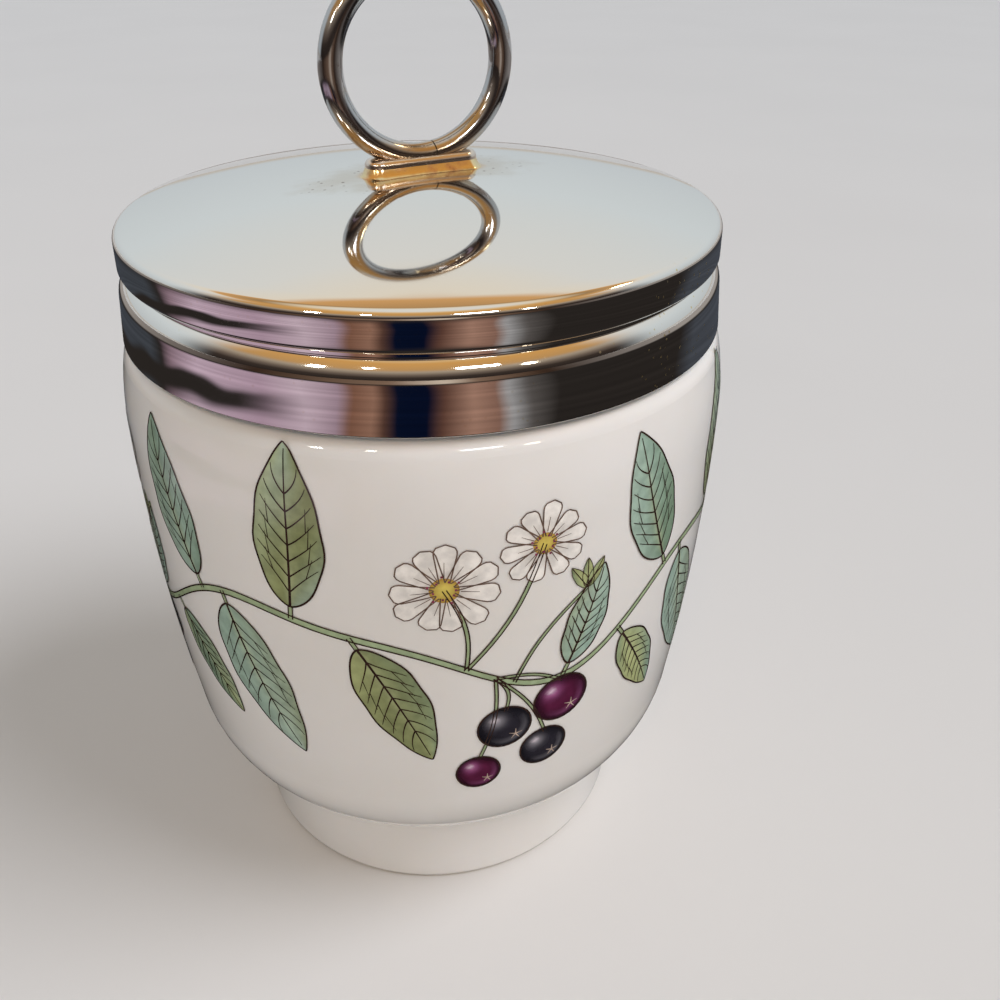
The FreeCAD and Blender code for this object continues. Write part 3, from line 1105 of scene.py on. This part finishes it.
@dataclass
class SaddleJoint:
    """The bar under the ring with its worn-round edges, and the braze that flows from it out over the crown."""

    half: float = 4.85
    width: float = 3.3
    top: float = 85.0
    crown_height: float = 83.25
    crown_ball: float = 125.0
    braze_reach: float = 0.8
    braze_climb: float = 0.85
    round_points: int = 96

    def stack(self, name: str, levels: list[Flat], capped: bool) -> bpy.types.Object:
        """Builds a round-ended form: a ring is pulled apart into a bar's outline, then extruded and scaled.

        Args:
            name: The piece's name.
            levels: How far each contour stands off the bar's outline, and its height, in mm.
            capped: Whether top and bottom are closed.

        Returns:
            The new object.
        """
        z, end = levels[0][1], self.width / 2
        made = outline(name, self.round_points, end, z)
        for vertex in made.data.vertices:
            vertex.co.x += math.copysign(self.half * MM, vertex.co.x + 1e-9)
        bpy.ops.object.mode_set(mode="EDIT")
        bpy.ops.mesh.select_mode(type="EDGE")
        bpy.ops.mesh.select_all(action="SELECT")
        bpy.ops.mesh.subdivide(number_cuts=1)
        long, was = self.half + end, (1.0, 1.0)
        for step, (spread, height) in enumerate(levels):
            if step:
                stretch_up(height - z)
            elif capped:
                bpy.ops.mesh.edge_face_add()
                bpy.ops.mesh.select_all(action="SELECT")
            now = ((long + spread) / long, (end + spread) / end)
            bpy.ops.transform.resize(value=(now[0] / was[0], now[1] / was[1], 1), center_override=(0, 0, height * MM))
            z, was = height, now
        if capped:
            bpy.ops.mesh.edge_face_add()
        tidy_mesh(50)
        return made

    def bar(self, finish: bpy.types.Material) -> bpy.types.Object:
        """Builds the bar.

        Args:
            finish: Its plate.

        Returns:
            The piece.
        """
        levels = [(0.0, 82.85), (0.0, 84.25), (-0.03, 84.45), (-0.12, 84.65), (-0.27, 84.82), (-0.48, 84.94)]
        levels += [(-0.72, self.top)]
        made = self.stack("ring_saddle_bar", levels, True)
        return self.fit(made, finish, "ring_saddle")

    def flow(self, finish: bpy.types.Material) -> bpy.types.Object:
        """Builds the braze: a hollow-faced skirt that thins out to nothing on the crown.

        Args:
            finish: Its metal.

        Returns:
            The piece.
        """
        base, steps = self.crown_height - 0.06, 12
        shares = [k / steps for k in range(steps + 1)]
        outer = [(self.braze_reach * (1 - share), base + self.braze_climb * share**2.1) for share in shares]
        levels = [(-0.3, base), *outer, (-0.3, outer[-1][1] + 0.02)]
        made = self.stack("braze_flow", levels, False)
        for vertex in made.data.vertices:
            x, y, z = (v / MM for v in vertex.co)
            up = max(0.0, (z - base) / self.braze_climb)
            uneven = 0.10 * math.sin(1.3 * x + 0.7) * math.sin(2.1 * y + 1.1 * x) * up * (1 - up) * 4
            vertex.co.z = (z - (x * x + y * y) / (2 * self.crown_ball) * (1 - up) + uneven) * MM
        return self.fit(made, finish, "braze_fillets")

    def fit(self, made: bpy.types.Object, finish: bpy.types.Material, node: str) -> bpy.types.Object:
        """Gives a piece its finish and its place on the lid.

        Args:
            made: The piece.
            finish: Its material.
            node: The CAD node it stands for.

        Returns:
            The piece.
        """
        give(made, finish)
        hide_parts(node)
        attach(made, "lid")
        return made


@dataclass
class Lid:
    """The screw lid: plated shell, steel collar, and the lifting ring brazed on its crown."""

    shell: str = "lid_shell"
    collar: str = "lid_threaded_collar"
    ring: str = "lifting_ring"
    saddle: str = "ring_saddle"
    braze: str = "braze_fillets"
    washer: str = "sealing_washer"

    def dress(self) -> list[str]:
        """Gives each node its finish.

        Returns:
            The names of its pieces.
        """
        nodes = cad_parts
        plate = BrightPlate().make()
        give(nodes[self.shell], plate)
        LidShell().build(plate)
        give(nodes[self.collar], TurnedSteel().make())
        give(nodes[self.ring], PlatedWire().make())
        # The saddle is tinted warm all over: a painted warm reflection, with heat tint near the braze.
        worn = PlatedWire("bright_plated_saddle", metal="#e2dcd4", heat_and_reflection_tint="#ddd0c4", heat_and_reflection_strength=1.0, dullness=0.12).make()
        braze = WarmBraze().make()
        give(nodes[self.saddle], worn)
        give(nodes[self.braze], braze)
        joint = SaddleJoint()
        joint.bar(worn)
        joint.flow(braze)
        give(nodes[self.washer], PressedRubber().make())
        return ["lid_shell_spun", self.collar, self.ring, "ring_saddle_bar", "braze_flow", self.washer]


def give(target: bpy.types.Object, material: bpy.types.Material) -> None:
    """Puts one material in all of an object's slots.

    Args:
        target: The object.
        material: Its new material.
    """
    if not target.material_slots:
        target.data.materials.append(material)
    for slot in target.material_slots:
        slot.material = material


# ---------------------------------------------------------------- studio


@dataclass
class Studio:
    """A pale floor, soft lamps, and cards and flags that only the shiny surfaces see."""

    heading: float = 27.73
    pitch: float = 26.09
    roll: float = -0.15
    eye: tuple[float, float, float] = (-43.6, -101.3, 109.9)
    lens: float = 36.14
    shift: float = -0.109
    floor_radius: float = 6.0  # metres, as for the flag
    floor_tones: tuple[str, str] = ("#e4e2df", "#e2e0dd")
    sky: float = 0.5
    day: float = 1.7
    day_height: float = 50.0
    day_spread: float = 34.0
    flag_radius: float = 6.02
    flag_back: float = 5.4  # metres that its middle lies behind the camera's side, so that it ends at the far wall
    flag_front: float = 66.7  # degrees from X to the side away from the camera
    table_tone: str = "#2b2725"
    card_far: float = 900.0
    # What the bands mirror, by degrees from the camera's side: lilac at the left, brown and navy ahead, grey, dark.
    patch_tones: Tones = (
        (-112, "#3f434a"), (-103, "#2b2725"), (-96, "#8d7683"), (-82, "#c2abbd"), (-58, "#b197aa"), (-42, "#c8b3c2"),
        (-31, "#a48d9c"), (-26, "#7d5848"), (-18, "#946f5e"), (-14, "#553c34"), (-10, "#081128"), (-1, "#070f26"),
        (3, "#62443a"), (12, "#a58070"), (21, "#8a685b"), (26, "#a2a2a5"), (33, "#5a5655"), (42, "#2b2725"),
        (100, "#2b2725"), (112, "#444850"),
    )
    # What the ring mirrors from further off, likewise: pale walls at the sides, and wood and beams round a bright streak.
    stripe_tones: Tones = (
        (-140, "#a09a96"), (-60, "#38281f"), (-12, "#806858"), (5, "#d0c0b0"), (16, "#806858"), (40, "#38281f"),
        (100, "#a09a96"),
    )
    # What the crown mirrors, by the sine of the height: the wall ahead, with a warm strip high up, and the room behind.
    wall_tones: Tones = (
        (0.0, "#b9b2a8"), (0.03, "#bfc6ca"), (0.35, "#cdd5d9"), (0.62, "#d9dad8"), (0.71, "#e2dacb"),
        (0.74, "#d0a068"), (0.84, "#a08058"), (0.92, "#dfcfb4"), (0.97, "#dedcd6"),
    )
    behind_tones: Tones = (
        (0.0, "#2c2522"), (0.16, "#3a312c"), (0.3, "#6e6157"), (0.45, "#a59684"), (0.56, "#bd935e"), (0.8, "#cf9c5a"),
        (0.9, "#d9b98a"), (0.975, "#dedcd6"),
    )
    # Name, degrees round from ahead, degrees up, size in mm, colour and strength.
    window_cards: tuple[tuple[str, float, float, tuple[float, float], str, float], ...] = (
        ("window_left", -143, 30, (70, 90), "#fffaf0", 30.0),
        ("window_mid", -162, 36, (46, 60), "#fff6e6", 30.0),
        ("window_right", 157, 33, (210, 80), "#f4f8ff", 18.0),
        ("window_far_right", 139, 24, (60, 60), "#fff0d8", 30.0),
        ("window_side", 74, 47, (120, 60), "#fff0c0", 16.0),
    )

    def camera(self) -> None:
        """Places the camera where the photograph was taken."""
        data = bpy.data.cameras.new("view")
        made = bpy.data.objects.new("view", data)
        bpy.context.scene.collection.objects.link(made)
        data.lens, data.sensor_width, data.shift_y = self.lens, 36.0, self.shift
        data.clip_start = 0.005
        made.location = [v * MM for v in self.eye]
        made.rotation_euler = (math.radians(90 - self.pitch), math.radians(self.roll), math.radians(-self.heading))
        bpy.context.scene.camera = made

    def disc(self, name: str, sides: int, radius: float, middle: tuple[float, float, float]) -> bpy.types.Object:
        """Lays a flat disc on the stage.

        Args:
            name: Its name.
            sides: Its number of sides.
            radius: In metres.
            middle: Its middle in metres.

        Returns:
            The disc.
        """
        bpy.ops.object.select_all(action="DESELECT")
        bpy.ops.mesh.primitive_circle_add(vertices=sides, radius=radius, fill_type="NGON", location=middle)
        made = bpy.context.object
        made.name = name
        return made

    def floor(self) -> None:
        """Lays the pale floor."""
        made = self.disc("floor", 96, self.floor_radius, (0, 0, -0.00005))
        material, node, shader, place = Finish("pale_floor").start()
        clouds = node("TexNoise", place, Scale=9.0, Detail=3.0)
        tone = node("ValToRGB", clouds, stops=tuple(zip((0.3, 0.7), self.floor_tones)))
        feed(shader, Base_Color=tone, Roughness=0.8, Specular_IOR_Level=0.0)
        made.data.materials.append(material)

    def table_flag(self) -> None:
        """Lays a dark disc on the floor that only metal and glaze reflect: a table top with soft colours round it."""
        turn = math.radians(self.heading)
        middle = (-self.flag_back * math.sin(turn), -self.flag_back * math.cos(turn), 0.0004)
        made = self.disc("table_flag", 192, self.flag_radius, middle)
        bpy.ops.object.transform_apply(location=True, rotation=True, scale=True)
        material, node, shader, place = Finish("dark_table_flag").start()
        parts = node("SeparateXYZ", place, out=None).outputs
        x, y = parts["X"], parts["Y"]
        wide = node("Math.SQRT", node("Math.MULTIPLY_ADD", x, x, node("Math.MULTIPLY", y, y)))
        # The angle from the camera's side, anticlockwise, as a share of a turn with that side at 0.5.
        cos, sin = math.cos(math.radians(self.flag_front)), math.sin(math.radians(self.flag_front))
        ahead = node("Math.MULTIPLY_ADD", x, cos, node("Math.MULTIPLY", y, sin))
        aside = node("Math.MULTIPLY_ADD", y, cos, node("Math.MULTIPLY", x, -sin))
        share = node("Math.MULTIPLY_ADD", node("Math.ARCTAN2", aside, ahead), 1 / math.tau, 0.5)
        share = node("Math.FRACT", node("Math.ADD", share, 0.5))
        wobble = node("TexNoise", place, Scale=grain(110), Detail=0.0)
        share = node("Math.ADD", share, node("Math.MULTIPLY_ADD", wobble, 0.03, -0.015))
        patches, distant = (
            node("ValToRGB", share, stops=tuple((0.5 + degrees / 360, tone) for degrees, tone in tones))
            for tones in (self.patch_tones, self.stripe_tones)
        )
        around = node("Mix", node("MapRange", wide, 0.3, 0.4), s6=self.table_tone, s7=distant, out=2)
        # The patches lie in a ragged ring, with a dark gap in it at the left.
        ragged = node("TexNoise", place, Scale=grain(70), Detail=0.5)
        ragged = node("Math.MULTIPLY_ADD", ragged, 0.03, wide)
        near, far = node("MapRange", ragged, 0.120, 0.142), node("MapRange", ragged, 0.26, 0.33, 1.0, 0.0)
        rise, fall = node("MapRange", ragged, 0.160, 0.178), node("MapRange", ragged, 0.196, 0.210, 1.0, 0.0)
        gap = node("Math.MULTIPLY", node("MapRange", share, 0.31, 0.40, 1.0, 0.0), node("Math.MULTIPLY", rise, fall))
        left = node("Math.SUBTRACT", 1.0, gap)
        shown = node("Math.MULTIPLY", node("Math.MULTIPLY", near, far), left, settings={"use_clamp": True})
        streaks = node("TexNoise", node("CombineXYZ", wide), Scale=grain(9.0), Detail=2.0)
        streaks = node("ValToRGB", streaks, stops=((0.3, 0.72), (0.7, 1.2)))
        toned = node("Mix.MULTIPLY", 1.0, s6=patches, s7=streaks, out=2)
        glowing(shader, node("Mix", shown, s6=around, s7=toned, out=2), 1.0)
        made.data.materials.append(material)
        made.visible_camera = made.visible_shadow = made.visible_diffuse = False

    def world(self) -> None:
        """Sets the room: plain and pale for the camera and dull surfaces, a wall and a warm room in reflections."""
        world = bpy.data.worlds.new("room")
        bpy.context.scene.world = world
        world.use_nodes = True
        world.node_tree.nodes.clear()
        node = partial(add, world.node_tree)
        parts = node("SeparateXYZ", node("TexCoord", out="Generated"), out=None).outputs
        turn = math.radians(self.heading)
        ahead = node("Math.MULTIPLY", parts["Y"], math.cos(turn))
        ahead = node("Math.MULTIPLY_ADD", parts["X"], math.sin(turn), ahead)
        wall = node("ValToRGB", parts["Z"], stops=self.wall_tones)
        behind = node("ValToRGB", parts["Z"], stops=self.behind_tones)
        seen = node("Mix", node("MapRange", ahead, -0.3, 0.12), s6=behind, s7=wall, out=2)
        rays = node("LightPath", out=None).outputs
        plain, pale = node("Background", "#dde0e3", self.sky), node("Background", "#e4e5e6", 0.95)
        first = node("MixShader", rays["Is Camera Ray"], plain, pale)
        both = node("MixShader", rays["Is Glossy Ray"], first, node("Background", seen, 1.08))
        node("OutputWorld", both, out=None)

    def windows(self) -> None:
        """Hangs small bright cards round the room, which the rounded edges and the glaze catch as glints."""
        for name, around, climb, size, tone, strength in self.window_cards:
            way, up = math.radians(around + self.heading), math.radians(climb)
            toward = Vector((math.sin(way) * math.cos(up), math.cos(way) * math.cos(up), math.sin(up)))
            bpy.ops.object.select_all(action="DESELECT")
            bpy.ops.mesh.primitive_plane_add(size=1.0)
            made = bpy.context.object
            made.name = name
            made.scale = (size[0] * MM, size[1] * MM, 1)
            made.location = (toward * self.card_far + Vector((0, 0, 70))) * MM
            made.rotation_euler = (-toward).to_track_quat("Z", "Y").to_euler()
            material, _, shader, _ = Finish(name).start()
            glowing(shader, tone, strength)
            made.data.materials.append(material)
            made.visible_camera = made.visible_shadow = made.visible_diffuse = False

    def lamp(self, name: str, kind: str, tone: str, spot: Vector, aim: Vector) -> bpy.types.Light:
        """Hangs a lamp that no reflection shows.

        Args:
            name: Its name.
            kind: Blender's type of light.
            tone: Its colour.
            spot: Its place in mm.
            aim: The point in mm that it faces.

        Returns:
            Its light, for its strength and size.
        """
        data = bpy.data.lights.new(name, kind)
        data.color = linear(tone)[:3]
        made = bpy.data.objects.new(name, data)
        bpy.context.scene.collection.objects.link(made)
        made.location = spot * MM
        made.rotation_euler = (aim - spot).to_track_quat("-Z", "Y").to_euler()
        made.visible_glossy = False
        return data

    def lamps(self) -> None:
        """Lets in broad, even daylight from the camera's right, and fills the shadows from its left."""
        way, up = math.radians(self.heading + 100), math.radians(self.day_height)
        toward = Vector((math.sin(way) * math.cos(up), math.cos(way) * math.cos(up), math.sin(up)))
        day = self.lamp("daylight", "SUN", "#f6f8ff", toward, Vector())
        day.energy, day.angle = self.day, math.radians(self.day_spread)
        fill = self.lamp("fill", "AREA", "#ffdcb8", Vector((-300, -520, 620)), Vector((0, 0, 45)))
        fill.shape, fill.size, fill.energy = "DISK", 300 * MM, 1.1

    def build(self) -> None:
        """Sets up the whole studio."""
        self.camera()
        self.floor()
        self.table_flag()
        self.world()
        self.windows()
        self.lamps()
        bpy.context.scene.view_settings.view_transform = "Standard"


def main() -> None:
    """Builds the studio and dresses the part, piece by piece."""
    Studio().build()
    for build in (Cup(), Lid()):
        for name in build.dress():
            log.info("%s: %s", type(build).__name__, name)


if __name__ == "__main__":
    logging.basicConfig(level=logging.INFO, format="%(name)s %(message)s")
    main()
